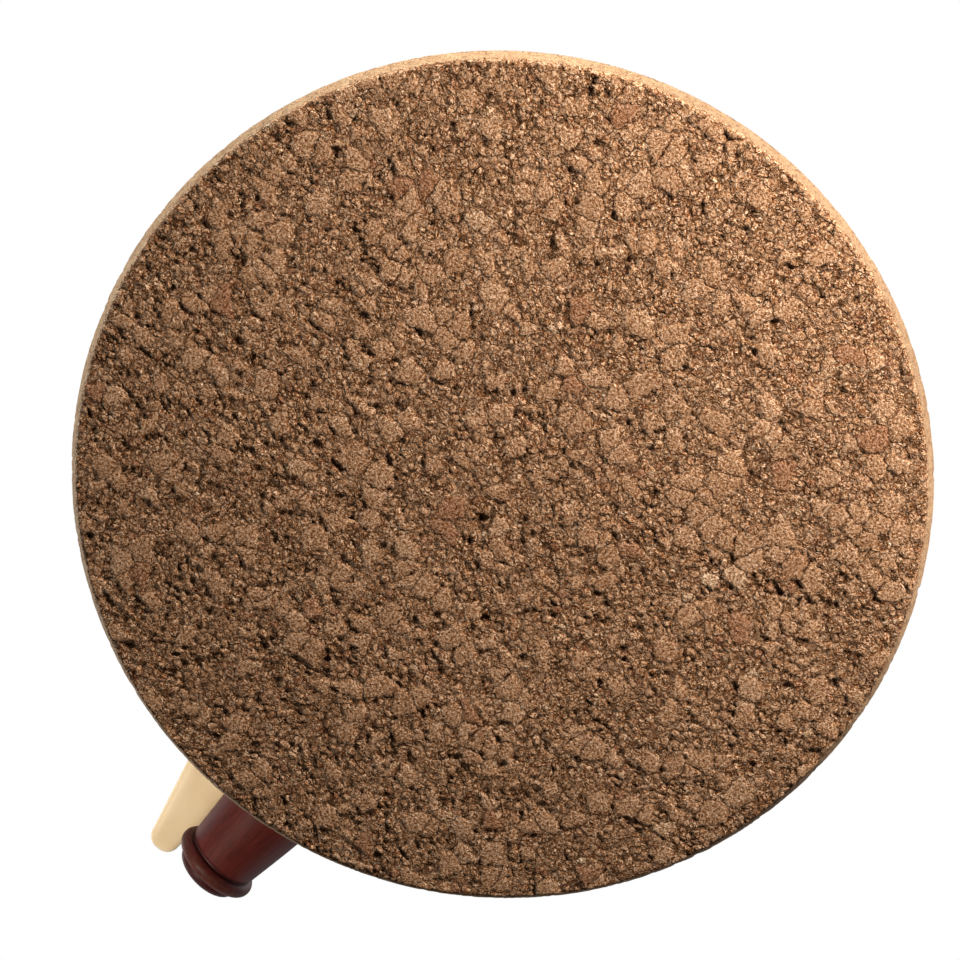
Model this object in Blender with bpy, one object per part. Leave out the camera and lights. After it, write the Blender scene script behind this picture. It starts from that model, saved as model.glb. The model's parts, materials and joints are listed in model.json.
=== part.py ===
"""Round sanding block: a bevelled cork pad on a plywood backing board, with a turned grip on its back.

The grip's arm tilts on a hinge bolt across the middle of the board. A cam lever on the end of that bolt
locks the tilt, and lies beside the grip when it is closed.

Frame: metres, +Z up, origin at the centre of the cork's working face, which faces -Z. The grip folds
down along +X, and the lever is on its +Y side.
"""

import math

import bmesh
import bpy
from mathutils import Matrix, Vector

MM = 0.001
GAP = 0.3 * MM

# Pad and board
PAD_RADIUS = 100 * MM
PAD_THICKNESS = 18 * MM
BEVEL_IN = 2.4 * MM
BEVEL_UP = 4.9 * MM
BOARD_RADIUS = 98 * MM
BOARD_THICKNESS = 9 * MM
BOARD_BOTTOM = PAD_THICKNESS + GAP
BOARD_TOP = BOARD_BOTTOM + BOARD_THICKNESS

# Hinge: its axis runs along Y
HINGE_Z = 45 * MM
BOLT_RADIUS = 4 * MM
BORE_RADIUS = BOLT_RADIUS + GAP
BARREL_RADIUS = 11 * MM
BARREL_LOW_Y = -29 * MM
BARREL_HIGH_Y = 5 * MM
FRICTION_WASHER = 1.0 * MM
WASHER_RADIUS = 10 * MM

# Bracket
PLATE_X = 60 * MM
PLATE_Y = 84 * MM
PLATE_THICKNESS = 4 * MM
PLATE_CORNER = 9 * MM
PLATE_BOTTOM = BOARD_TOP + GAP
PLATE_TOP = PLATE_BOTTOM + PLATE_THICKNESS
EAR_THICKNESS = 3.5 * MM
EAR_HALF_WIDTH = 13 * MM
EAR_FOOT_HALF_WIDTH = 17 * MM
EAR_LOW_Y = BARREL_LOW_Y - 2 * GAP - FRICTION_WASHER
EAR_HIGH_Y = BARREL_HIGH_Y + 2 * GAP + FRICTION_WASHER
SCREW_X = 22 * MM
SCREW_Y = 34 * MM

# Bracket screws
SCREW_RADIUS = 2.0 * MM
SCREW_HEAD_RADIUS = 4.1 * MM
SCREW_HEAD_HEIGHT = 2.6 * MM
SCREW_LENGTH = 11.5 * MM

# Clamp on the two ends of the bolt
NUT_WASHER = 1.6 * MM
NUT_THICKNESS = 7 * MM
NUT_ACROSS_FLATS = 13 * MM
CAM_WASHER = 2.5 * MM
CAM_RADIUS = 7.5 * MM
CAM_OFFSET = 0.5 * MM
CAM_HALF_HEIGHT = 7 * MM
SLOT_HALF = 3.5 * MM
PIN_RADIUS = 2 * MM
EYE_RADIUS = 5.2 * MM
CAM_SEAT_Y = EAR_HIGH_Y + EAR_THICKNESS + GAP + CAM_WASHER + GAP
PIN_Y = CAM_SEAT_Y + CAM_RADIUS + CAM_OFFSET
BOLT_END_Y = EAR_LOW_Y - EAR_THICKNESS - 2 * GAP - NUT_WASHER - NUT_THICKNESS - 2 * MM
KEY_RADIUS = 1.5 * MM
KEY_Y = -3 * MM

# Grip, along its own line from the hinge
GRIP_LINE_Y = -19.9 * MM
GRIP_TOE = math.radians(5)
BOSS_END = 24 * MM
BOSS_RADIUS = 9 * MM
ROD_START = 12.5 * MM
ROD_END = 100 * MM
JAM_NUT = 5 * MM
FERRULE_START = BOSS_END + JAM_NUT + 2 * GAP
FERRULE_END = 42 * MM
TENON_RADIUS = 8 * MM
FERRULE_RADIUS = 10.4 * MM
GRIP_END = 139.8 * MM
SWELL_LOW_RADIUS = 10 * MM
SWELL_RISE = 2.55 * MM
BEAD_AT = 133.3 * MM
BEAD_RADIUS = 11.7 * MM
BUTT_RADIUS = 8.9 * MM

# Lever
LEVER_TIP_X = 142.2 * MM
LEVER_TIP_Y = 5.5 * MM
LEVER_TIP_RADIUS = 4.3 * MM
LEVER_RISE = 15 * MM
LEVER_TAPER_START = 92 * MM
LEVER_TAPER = 4.5 * MM
LEVER_TAPER_POWER = 1.9
LEVER_SQUARENESS = 0.45

DISC_ROUND = 96
ROUND = 40
SMALL_ROUND = 20
WASHER_ROUND = 24


def clear_scene():
    for obj in list(bpy.data.objects):
        bpy.data.objects.remove(obj, do_unlink=True)


def material(name, colour, roughness, metallic=0.0):
    mat = bpy.data.materials.new(name)
    mat.use_nodes = True
    shader = mat.node_tree.nodes["Principled BSDF"]
    shader.inputs["Base Color"].default_value = (*colour, 1.0)
    shader.inputs["Roughness"].default_value = roughness
    shader.inputs["Metallic"].default_value = metallic
    mat.diffuse_color = (*colour, 1.0)
    return mat


def pivot(name, place, parent=None):
    """An empty that carries a group of pieces."""
    empty = bpy.data.objects.new(name, None)
    bpy.context.scene.collection.objects.link(empty)
    empty.parent = parent
    empty.matrix_basis = place
    return empty


def piece(name, bm, mat, parent=None, place=None):
    """An object from a bmesh, shaded smooth except at its real edges."""
    bmesh.ops.recalc_face_normals(bm, faces=bm.faces)
    mesh = bpy.data.meshes.new(name)
    bm.to_mesh(mesh)
    bm.free()
    mesh.shade_smooth()
    mesh.set_sharp_from_angle(angle=math.radians(32))
    mesh.materials.append(mat)
    obj = bpy.data.objects.new(name, mesh)
    bpy.context.scene.collection.objects.link(obj)
    obj.parent = parent
    obj.matrix_basis = place or Matrix.Identity(4)
    return obj


def combine(target, bm, operation, place=None):
    """Adds or removes a helper shape, which lies in the frame of the target's own parent."""
    name = f"{target.name}_tool_{len(target.modifiers)}"
    helper = piece(name, bm, target.active_material, target.parent, place)
    helper.hide_render = True
    helper.display_type = "WIRE"
    boolean = target.modifiers.new(operation.lower(), "BOOLEAN")
    boolean.operation = operation
    boolean.solver = "EXACT"
    boolean.object = helper


def turned(profile, segments=ROUND, closed=False):
    """A solid turned about Z from (radius, height) points, top to bottom on the outer side."""
    bm = bmesh.new()
    verts = [bm.verts.new((radius, 0.0, height)) for radius, height in profile]
    pairs = list(zip(verts, verts[1:]))
    if closed:
        pairs.append((verts[-1], verts[0]))
    edges = [bm.edges.new(pair) for pair in pairs]
    bmesh.ops.spin(
        bm, geom=verts + edges, cent=(0, 0, 0), axis=(0, 0, 1), angle=math.tau, steps=segments, use_merge=True
    )
    bmesh.ops.remove_doubles(bm, verts=bm.verts, dist=1e-6)
    return bm


def rod(radius, low, high, segments=ROUND, chamfer=0.0):
    """A round bar along Z."""
    edge = [(radius, high), (radius, low)]
    if chamfer:
        inner = radius - chamfer
        edge = [(inner, high), (radius, high - chamfer), (radius, low + chamfer), (inner, low)]
    return turned([(0, high), *edge, (0, low)], segments)


def tube(outer, inner, low, high, segments=ROUND, chamfer=0.2 * MM):
    """A ring along Z with lightly broken outer edges."""
    return turned(
        [
            (inner, high),
            (outer - chamfer, high),
            (outer, high - chamfer),
            (outer, low + chamfer),
            (outer - chamfer, low),
            (inner, low),
        ],
        segments,
        closed=True,
    )


def prism(outline, low, high):
    """A flat outline of (x, y) points, extruded along Z."""
    bm = bmesh.new()
    face = bm.faces.new([bm.verts.new((x, y, low)) for x, y in outline])
    raised = bmesh.ops.extrude_face_region(bm, geom=[face])["geom"]
    bmesh.ops.translate(
        bm, vec=(0, 0, high - low), verts=[part for part in raised if isinstance(part, bmesh.types.BMVert)]
    )
    return bm


def arc(centre, radius, start, end, steps):
    """Points on an arc, angles in degrees."""
    return [
        (
            centre[0] + radius * math.cos(math.radians(start + (end - start) * step / steps)),
            centre[1] + radius * math.sin(math.radians(start + (end - start) * step / steps)),
        )
        for step in range(steps + 1)
    ]


def rounded_rectangle(size_x, size_y, corner, steps=6):
    points = []
    for quarter, (sign_x, sign_y) in enumerate(((1, 1), (-1, 1), (-1, -1), (1, -1))):
        centre = (sign_x * (size_x / 2 - corner), sign_y * (size_y / 2 - corner))
        points += arc(centre, corner, 90 * quarter, 90 * quarter + 90, steps)
    return points


def hexagon(across_flats):
    radius = across_flats / math.sqrt(3)
    return arc((0, 0), radius, 0, 300, 5)


def along_y(y=0.0, x=0.0, z=0.0):
    """Places a shape modelled along Z so that it runs along Y from the given point."""
    return Matrix.Translation((x, y, z)) @ Matrix.Rotation(math.radians(-90), 4, "X")


def smooth_step(value):
    value = min(max(value, 0.0), 1.0)
    return value * value * (3 - 2 * value)


def make_pad():
    """The cork, with a steep bevel round its working face."""
    profile = [
        (0, PAD_THICKNESS),
        (PAD_RADIUS - 0.8 * MM, PAD_THICKNESS),
        (PAD_RADIUS, PAD_THICKNESS - 0.8 * MM),
        (PAD_RADIUS, BEVEL_UP),
        (PAD_RADIUS - BEVEL_IN, 0),
        (0, 0),
    ]
    piece("cork_pad", turned(profile, DISC_ROUND), CORK)


def screw_places():
    return [(sx * SCREW_X, sy * SCREW_Y) for sx in (1, -1) for sy in (1, -1)]


def make_board():
    """The plywood disc, with a blind pilot hole for each screw."""
    edge = 1.0 * MM
    profile = [
        (0, BOARD_TOP),
        (BOARD_RADIUS - edge, BOARD_TOP),
        (BOARD_RADIUS, BOARD_TOP - edge),
        (BOARD_RADIUS, BOARD_BOTTOM + edge),
        (BOARD_RADIUS - edge, BOARD_BOTTOM),
        (0, BOARD_BOTTOM),
    ]
    board = piece("backing_board", turned(profile, DISC_ROUND), PLYWOOD)
    hole_bottom = PLATE_TOP - SCREW_LENGTH - 0.5 * MM
    for x, y in screw_places():
        hole = rod(SCREW_RADIUS + GAP, hole_bottom, BOARD_TOP + 2 * MM, SMALL_ROUND)
        combine(board, hole, "DIFFERENCE", Matrix.Translation((x, y, 0)))


def ear_outline():
    """The ear in its own plane: a foot that narrows up to a round head about the bolt."""
    low = PLATE_TOP - 1 * MM - HINGE_Z
    head = arc((0, 0), EAR_HALF_WIDTH, 0, 180, 16)
    return [(EAR_FOOT_HALF_WIDTH, low), *head, (-EAR_FOOT_HALF_WIDTH, low)]


def make_bracket():
    """The cast bracket: a plate with two ears that hold the hinge bolt."""
    plate = prism(rounded_rectangle(PLATE_X, PLATE_Y, PLATE_CORNER), PLATE_BOTTOM, PLATE_TOP)
    bracket = piece("hinge_bracket", plate, CAST)
    upright = Matrix.Rotation(math.radians(90), 4, "X")
    for outer_y in (EAR_LOW_Y, EAR_HIGH_Y + EAR_THICKNESS):
        ear = prism(ear_outline(), 0, EAR_THICKNESS)
        combine(bracket, ear, "UNION", Matrix.Translation((0, outer_y, HINGE_Z)) @ upright)
    through = rod(BORE_RADIUS, EAR_LOW_Y - 10 * MM, EAR_HIGH_Y + 10 * MM, SMALL_ROUND)
    combine(bracket, through, "DIFFERENCE", along_y(z=HINGE_Z))
    for x, y in screw_places():
        hole = rod(SCREW_RADIUS + GAP, PLATE_BOTTOM - 2 * MM, PLATE_TOP + 2 * MM, SMALL_ROUND)
        combine(bracket, hole, "DIFFERENCE", Matrix.Translation((x, y, 0)))


def make_bracket_screws():
    """Four pan-head wood screws with a cross recess."""
    under = PLATE_TOP + GAP
    dome = []
    for degrees in (0, 30, 55, 72):
        angle = math.radians(degrees)
        height = SCREW_HEAD_HEIGHT * math.cos(angle) ** 0.6
        dome.append((SCREW_HEAD_RADIUS * math.sin(angle), under + height))
    profile = [
        *dome,
        (SCREW_HEAD_RADIUS, under + 0.6 * MM),
        (SCREW_HEAD_RADIUS, under),
        (SCREW_RADIUS, under),
        (SCREW_RADIUS, PLATE_TOP - SCREW_LENGTH + 2.5 * MM),
        (0, PLATE_TOP - SCREW_LENGTH),
    ]
    for number, (x, y) in enumerate(screw_places(), 1):
        turn = Matrix.Translation((x, y, 0)) @ Matrix.Rotation(math.radians(25 * number), 4, "Z")
        screw = piece(f"bracket_screw_{number}", turned(profile, 18), STEEL, None, turn)
        for length, width in ((4.2 * MM, 0.9 * MM), (0.9 * MM, 4.2 * MM)):
            bar = prism(rounded_rectangle(length, width, 0.2 * MM, 2), under + 1.1 * MM, under + 6 * MM)
            combine(screw, bar, "DIFFERENCE", turn)


def make_bumper():
    """The rubber stud that the folded arm rests on."""
    radius = 4.8 * MM
    top = HINGE_Z - BOSS_RADIUS - GAP
    foot = PLATE_TOP + GAP
    profile = [
        (0, top),
        (radius - 1.6 * MM, top),
        (radius - 0.5 * MM, top - 0.5 * MM),
        (radius, top - 1.6 * MM),
        (radius, foot),
        (0, foot),
    ]
    at = Matrix.Translation((17 * MM, GRIP_LINE_Y + 17 * MM * math.tan(GRIP_TOE), 0))
    piece("rest_bumper", turned(profile, SMALL_ROUND), RUBBER, None, at)


def make_friction_washers():
    for name, low in (
        ("friction_washer_1", BARREL_LOW_Y - GAP - FRICTION_WASHER),
        ("friction_washer_2", BARREL_HIGH_Y + GAP),
    ):
        ring = tube(WASHER_RADIUS, BORE_RADIUS, 0, FRICTION_WASHER, WASHER_ROUND)
        piece(name, ring, FIBRE, None, along_y(low, z=HINGE_Z))


def make_barrel(arm, grip_line):
    """The hinge barrel, with the boss that takes the tang rod."""
    body = tube(BARREL_RADIUS, BORE_RADIUS, BARREL_LOW_Y, BARREL_HIGH_Y, ROUND, 0.6 * MM)
    barrel = piece("hinge_barrel", body, ALUMINIUM, arm, along_y())
    boss = turned(
        [
            (0, BOSS_END),
            (BOSS_RADIUS - 0.6 * MM, BOSS_END),
            (BOSS_RADIUS, BOSS_END - 0.6 * MM),
            (BOSS_RADIUS, 6.5 * MM),
            (0, 6.5 * MM),
        ]
    )
    combine(barrel, boss, "UNION", grip_line.matrix_basis)
    socket = rod(BORE_RADIUS, ROD_START - GAP, BOSS_END + 3 * MM, SMALL_ROUND)
    combine(barrel, socket, "DIFFERENCE", grip_line.matrix_basis)
    across = rod(KEY_RADIUS + GAP, -15 * MM, 15 * MM, 16)
    combine(barrel, across, "DIFFERENCE", Matrix.Translation((0, KEY_Y, 0)))


def make_bolt(arm):
    """The hinge bolt: round through the barrel, then a flat blade with an eye for the cam pin."""
    shank = rod(BOLT_RADIUS, BOLT_END_Y, CAM_SEAT_Y - GAP, SMALL_ROUND, 0.5 * MM)
    bolt = piece("hinge_bolt", shank, STEEL, arm, along_y())
    half = SLOT_HALF - GAP
    neck = 2.2 * MM
    root = CAM_SEAT_Y - 3 * MM
    shoulder = CAM_SEAT_Y + 0.1 * MM
    blade = [(-neck, root), (neck, root), (neck, shoulder)]
    blade += [*arc((0, PIN_Y), EYE_RADIUS, -45, 225, 22), (-neck, shoulder)]
    combine(bolt, prism(blade, -half, half), "UNION")
    eye = rod(PIN_RADIUS + GAP, -10 * MM, 10 * MM, SMALL_ROUND)
    combine(bolt, eye, "DIFFERENCE", Matrix.Translation((0, PIN_Y, 0)))
    across = rod(KEY_RADIUS + GAP, -10 * MM, 10 * MM, 16)
    combine(bolt, across, "DIFFERENCE", Matrix.Translation((0, KEY_Y, 0)))
    pin = rod(KEY_RADIUS, -10 * MM, 10 * MM, 16, 0.3 * MM)
    piece("key_pin", pin, STEEL, arm, Matrix.Translation((0, KEY_Y, 0)))


def make_nut(name, thickness, low, parent, place):
    """A hexagon nut with its corners turned off at both faces."""
    radius = NUT_ACROSS_FLATS / math.sqrt(3) + 0.02 * MM
    nut = piece(name, prism(hexagon(NUT_ACROSS_FLATS), low, low + thickness), STEEL, parent, place)
    corner = 0.9 * MM
    bevelled = turned(
        [
            (0, low + thickness + GAP),
            (radius - corner, low + thickness + GAP),
            (radius, low + thickness - corner / 2),
            (radius, low + corner / 2),
            (radius - corner, low - GAP),
            (0, low - GAP),
        ],
        36,
    )
    combine(nut, bevelled, "INTERSECT", place)
    bore = rod(BORE_RADIUS, low - 2 * MM, low + thickness + 2 * MM, SMALL_ROUND)
    combine(nut, bore, "DIFFERENCE", place)


def make_clamp_ends(arm):
    """The adjusting nut and washer on one end of the bolt, and the cam's washer on the other."""
    washer_low = EAR_LOW_Y - EAR_THICKNESS - GAP - NUT_WASHER
    ring = tube(WASHER_RADIUS - 1 * MM, BORE_RADIUS, 0, NUT_WASHER, WASHER_ROUND)
    piece("nut_washer", ring, STEEL, arm, along_y(washer_low))
    make_nut("adjuster_nut", NUT_THICKNESS, 0, arm, along_y(washer_low - GAP - NUT_THICKNESS))
    seat = tube(WASHER_RADIUS, BORE_RADIUS, 0, CAM_WASHER, WASHER_ROUND, 0.4 * MM)
    piece("cam_washer", seat, BRASS, arm, along_y(CAM_SEAT_Y - GAP - CAM_WASHER))


def make_tang(grip_line):
    """The rod that carries the grip, its jam nut and the ferrule that caps the grip's tenon."""
    piece("tang_rod", rod(BOLT_RADIUS, ROD_START, ROD_END, SMALL_ROUND, 0.6 * MM), STEEL, grip_line)
    make_nut("jam_nut", JAM_NUT, BOSS_END + GAP, grip_line, Matrix.Identity(4))
    wall_end = FERRULE_START + 2.4 * MM
    profile = [
        (TENON_RADIUS + GAP, FERRULE_END),
        (FERRULE_RADIUS - 0.2 * MM, FERRULE_END),
        (FERRULE_RADIUS, FERRULE_END - 1.2 * MM),
        (9.9 * MM, FERRULE_END - 4 * MM),
        (9.3 * MM, FERRULE_START + 1.4 * MM),
        (8.4 * MM, FERRULE_START),
        (BORE_RADIUS, FERRULE_START),
        (BORE_RADIUS, wall_end),
        (TENON_RADIUS + GAP, wall_end),
    ]
    piece("ferrule", turned(profile, ROUND, closed=True), BRASS, grip_line)


def bead(centre, half, low_radius, high_radius, steps=6):
    """A round bead in a turned profile, from its outer end back towards the hinge."""
    points = []
    for step in range(steps + 1):
        angle = math.pi * step / steps
        radius = low_radius + (high_radius - low_radius) * math.sin(angle)
        points.append((radius, centre + half * math.cos(angle)))
    return points


def make_grip(grip_line):
    """The turned grip: tenon, long swell, groove, bead and a short domed butt."""
    swell_start = FERRULE_END + GAP
    swell_end = BEAD_AT - 3.2 * MM
    swell = []
    rings = 10
    for step in range(rings + 1):
        share = 1 - step / rings
        along = swell_start + (swell_end - swell_start) * share
        fullness = math.sin(math.pi * share**1.25)
        radius = SWELL_LOW_RADIUS + (FERRULE_RADIUS - SWELL_LOW_RADIUS) * (1 - share) + SWELL_RISE * fullness
        swell.append((radius, along))
    dome = [(0, GRIP_END)]
    dome_start = BEAD_AT + 3.3 * MM
    for degrees in (70, 50, 30, 12):
        angle = math.radians(degrees)
        rise = (GRIP_END - dome_start) * math.sin(angle)
        dome.append((BUTT_RADIUS * math.cos(angle), dome_start + rise))
    profile = [
        *dome,
        (BUTT_RADIUS, BEAD_AT + 2.9 * MM),
        *bead(BEAD_AT, 2.0 * MM, SWELL_LOW_RADIUS - 0.3 * MM, BEAD_RADIUS),
        (SWELL_LOW_RADIUS - 0.4 * MM, BEAD_AT - 2.7 * MM),
        *swell,
        (TENON_RADIUS, swell_start),
        (TENON_RADIUS, FERRULE_START + 2.4 * MM + GAP),
        (BORE_RADIUS, FERRULE_START + 2.4 * MM + GAP),
        (BORE_RADIUS, ROD_END + GAP),
        (0, ROD_END + GAP),
    ]
    piece("grip", turned(profile), LACQUER, grip_line)


def lever_section(x):
    """Centre and half sizes of the lever's arm at a distance x from its pin."""
    share = x / LEVER_TIP_X
    y = (LEVER_TIP_Y - PIN_Y) * (0.35 * share + 0.65 * smooth_step(share * 0.98 + 0.02))
    z = LEVER_RISE * smooth_step((x - 10 * MM) / (34 * MM))
    neck = 6.4 * MM - 1.2 * MM * smooth_step((x - 10 * MM) / (25 * MM))
    paddle = 3.6 * MM * smooth_step((x - 35 * MM) / (60 * MM))
    along = max(0.0, (x - LEVER_TAPER_START) / (LEVER_TIP_X - LEVER_TAPER_START))
    taper = LEVER_TAPER * along ** LEVER_TAPER_POWER
    half_y = neck + paddle - taper
    half_z = 6.0 * MM - 2.9 * MM * smooth_step((x - 8 * MM) / (34 * MM))
    beyond = x - LEVER_TIP_X
    if beyond > 0:
        round_off = math.sqrt(max(0.0, 1 - (beyond / LEVER_TIP_RADIUS) ** 2))
        half_y = LEVER_TIP_RADIUS * round_off
        half_z *= round_off**0.6
    return Vector((x, y, z)), half_y, half_z


def make_lever(lever_pin):
    """The cam lever: two cheeks about the pin, and a long flat arm that rises beside the grip."""
    tip = LEVER_TIP_X / MM
    tip_radius = LEVER_TIP_RADIUS / MM
    stations = [3, 8, 12, 16, 20, 24, 28, 32, 37, 43, 52, 64, 78, 90, 100, 110, 120, 130, 138, tip]
    stations += [tip + tip_radius * math.sin(math.radians(a)) for a in (25, 45, 62, 76, 84)]
    sides = 16
    bm = bmesh.new()
    rings = []
    for place in stations:
        x = place * MM
        centre, half_y, half_z = lever_section(x)
        here = min(x, LEVER_TIP_X)
        ahead = lever_section(min(here + 0.5 * MM, LEVER_TIP_X))[0] - lever_section(here - 0.5 * MM)[0]
        up = Vector((-ahead.z, 0, ahead.x)).normalized()
        ring = []
        for side in range(sides):
            angle = math.tau * side / sides
            across, rise = math.cos(angle), math.sin(angle)
            wide = math.copysign(abs(across) ** LEVER_SQUARENESS, across) * half_y
            high = math.copysign(abs(rise) ** LEVER_SQUARENESS, rise) * half_z
            ring.append(bm.verts.new(centre + Vector((0, wide, 0)) + up * high))
        rings.append(ring)
    for first, second in zip(rings, rings[1:]):
        for side in range(sides):
            after = (side + 1) % sides
            bm.faces.new((first[side], second[side], second[after], first[after]))
    bm.faces.new(rings[0])
    bm.faces.new(list(reversed(rings[-1])))
    lever = piece("cam_lever", bm, CREAM, lever_pin)
    cheeks = rod(CAM_RADIUS, -CAM_HALF_HEIGHT, CAM_HALF_HEIGHT, ROUND, 0.7 * MM)
    combine(lever, cheeks, "UNION", Matrix.Translation((0, -CAM_OFFSET, 0)))
    web, far = 6.6 * MM, 20 * MM
    slot = prism([(web, -far), (web, far), (-far, far), (-far, -far)], -SLOT_HALF, SLOT_HALF)
    combine(lever, slot, "DIFFERENCE")
    hole = rod(PIN_RADIUS + GAP, -12 * MM, 12 * MM, SMALL_ROUND)
    combine(lever, hole, "DIFFERENCE")
    pin = rod(PIN_RADIUS, -CAM_HALF_HEIGHT - 0.4 * MM, CAM_HALF_HEIGHT + 0.4 * MM, SMALL_ROUND, 0.4 * MM)
    piece("cam_pin", pin, STEEL, lever_pin)


clear_scene()
CORK = material("cork", (0.33, 0.19, 0.105), 0.9)
PLYWOOD = material("birch_plywood", (0.66, 0.48, 0.29), 0.6)
CAST = material("cast_aluminium", (0.55, 0.56, 0.57), 0.5, 1.0)
ALUMINIUM = material("turned_aluminium", (0.72, 0.73, 0.74), 0.35, 1.0)
STEEL = material("zinc_plated_steel", (0.62, 0.62, 0.6), 0.3, 1.0)
BRASS = material("brass", (0.75, 0.56, 0.27), 0.3, 1.0)
FIBRE = material("black_fibre", (0.03, 0.03, 0.032), 0.7)
RUBBER = material("black_rubber", (0.02, 0.02, 0.02), 0.8)
LACQUER = material("maroon_lacquer", (0.12, 0.018, 0.018), 0.22)
CREAM = material("cream_plastic", (0.79, 0.61, 0.37), 0.4)

make_pad()
make_board()
make_bracket()
make_bracket_screws()
make_bumper()
make_friction_washers()

arm_pivot = pivot("arm_pivot", Matrix.Translation((0, 0, HINGE_Z)))
grip_axis = pivot(
    "grip_axis",
    Matrix.Translation((0, GRIP_LINE_Y, 0))
    @ Matrix.Rotation(GRIP_TOE, 4, "Z")
    @ Matrix.Rotation(math.radians(90), 4, "Y"),
    arm_pivot,
)
lever_pivot = pivot("lever_pivot", Matrix.Translation((0, PIN_Y, 0)), arm_pivot)

make_barrel(arm_pivot, grip_axis)
make_bolt(arm_pivot)
make_clamp_ends(arm_pivot)
make_tang(grip_axis)
make_grip(grip_axis)
make_lever(lever_pivot)
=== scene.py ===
"""Looks of the round cork sanding block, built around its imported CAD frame.

Metres, +Z up, in the CAD's own frame: the cork's working face lies at z = 0 and faces -Z, the grip lies
along +X over the board, and the cam lever lies beside it.
"""

import json
import math

import bmesh
import bpy
import numpy as np
from mathutils import Matrix, Vector


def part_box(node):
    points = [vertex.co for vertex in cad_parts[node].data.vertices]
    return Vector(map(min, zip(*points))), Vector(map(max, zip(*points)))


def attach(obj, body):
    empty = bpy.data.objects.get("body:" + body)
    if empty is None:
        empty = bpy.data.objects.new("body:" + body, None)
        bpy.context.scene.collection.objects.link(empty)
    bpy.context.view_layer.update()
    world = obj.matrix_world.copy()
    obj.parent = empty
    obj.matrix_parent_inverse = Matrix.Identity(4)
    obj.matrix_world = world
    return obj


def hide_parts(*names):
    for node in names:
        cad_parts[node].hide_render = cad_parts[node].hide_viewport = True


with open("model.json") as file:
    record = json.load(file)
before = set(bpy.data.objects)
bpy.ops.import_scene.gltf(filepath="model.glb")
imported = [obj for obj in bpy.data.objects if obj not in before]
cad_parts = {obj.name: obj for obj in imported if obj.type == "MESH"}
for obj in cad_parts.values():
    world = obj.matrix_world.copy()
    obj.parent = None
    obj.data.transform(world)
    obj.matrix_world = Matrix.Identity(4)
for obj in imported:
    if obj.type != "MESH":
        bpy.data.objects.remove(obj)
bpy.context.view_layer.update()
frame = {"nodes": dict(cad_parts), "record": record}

MM = 0.001
SEED = 7

# Sizes that the frame gives
PAD_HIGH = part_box("cork_pad")[1]
BOARD_LOW, BOARD_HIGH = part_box("backing_board")
PAD_RADIUS = PAD_HIGH.x
PAD_TOP = PAD_HIGH.z
BOARD_RADIUS = BOARD_HIGH.x
JOINTS = {joint["name"]: joint for joint in frame["record"]["behaviour"]["joints"]}
HINGE = Vector(JOINTS["grip_tilt"]["pos_m"])
LEVER_PIN = Vector(JOINTS["lever_cam"]["pos_m"])

# Cork disc
BEVEL_IN = 2.4 * MM
BEVEL_UP = 4.9 * MM
TOP_ROUND = 0.9 * MM
UNDER_BOARD = 2.4 * MM
FACE_RINGS = 160
BEVEL_RINGS = 6
SIDE_RINGS = 8
LATTICE_JITTER = 0.17 * MM

# Pattern of the pressed cork: sizes and depths in millimetres, and slopes of its facets
SMALL_GRANULE = 1.9
BIG_GRANULE = 4.9
CRUMB = 1.0
SWAY_SIZE = 2.0
SWAY = 2.6
SMALL_SLOPE = 0.22
BIG_SLOPE = 0.035
CRUMB_SLOPE = 0.55
CRUMB_DEPTH = 0.06
LEVEL_DEPTH = 0.15
BORDER_DEPTH = 0.16
CREVICE_DEPTH = 0.4
FALLEN_DEPTH = 0.60
PIT_DEPTH = 0.8
EDGE_RELIEF = 0.35

# Which of the cells' random values, from 0 to 1, make a granule big, fallen out, reddish or pale
BIG_ABOVE = 0.62
FALLEN_BELOW = 0.045
REDDISH_ABOVE = 0.955
PALE_BELOW = 0.010

# Colours of the cork
# Painted shade for the seams, crevices and pits of the face
CREVICE_SHADE_BROWN = (0.055, 0.020, 0.006)
REDDISH_GRANULE = (0.270, 0.115, 0.062)
PALE_CHIP = (0.62, 0.45, 0.31)
FRECKLE_BROWN = (0.13, 0.055, 0.028)
# The side above the bevel: a darker, greyer tint over the face's colour
SIDE_DARKER_GREYER = (0.72, 0.68, 0.64)

# The low key light's side, in degrees, where the cut edge has painted shade to hold back the key's glare
KEY_AZIMUTH = 190
PAINTED_SHADE_TOWARD_KEY = 0.66

# Board
PLIES = 7
PLY_STEP = 0.12 * MM
GLUE_LINE = 0.08 * MM

# Grip, along its own line from the hinge
GRIP_LINE_Y = -19.9 * MM
GRIP_TOE = math.radians(5)
TENON_RADIUS = 8 * MM
ROD_RADIUS = 4.3 * MM
GRIP_END = 139.8 * MM
FERRULE_RADIUS = 10.4 * MM
SWELL_LOW_RADIUS = 10 * MM
SWELL_RISE = 2.55 * MM
BEAD_AT = 133.3 * MM
BEAD_RADIUS = 11.7 * MM
BUTT_RADIUS = 8.9 * MM
TENON_START = 32.3 * MM
SWELL_START = 42.3 * MM
SWELL_END = 130.1 * MM
ROD_END = 100.3 * MM
SHOULDER_RADIUS = 10.1 * MM
SHOULDER = 0.25 * MM
GROOVE_RADIUS = 9.6 * MM
BEAD_FOOT_RADIUS = 9.7 * MM
BEAD_HALF = 2.0 * MM

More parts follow.
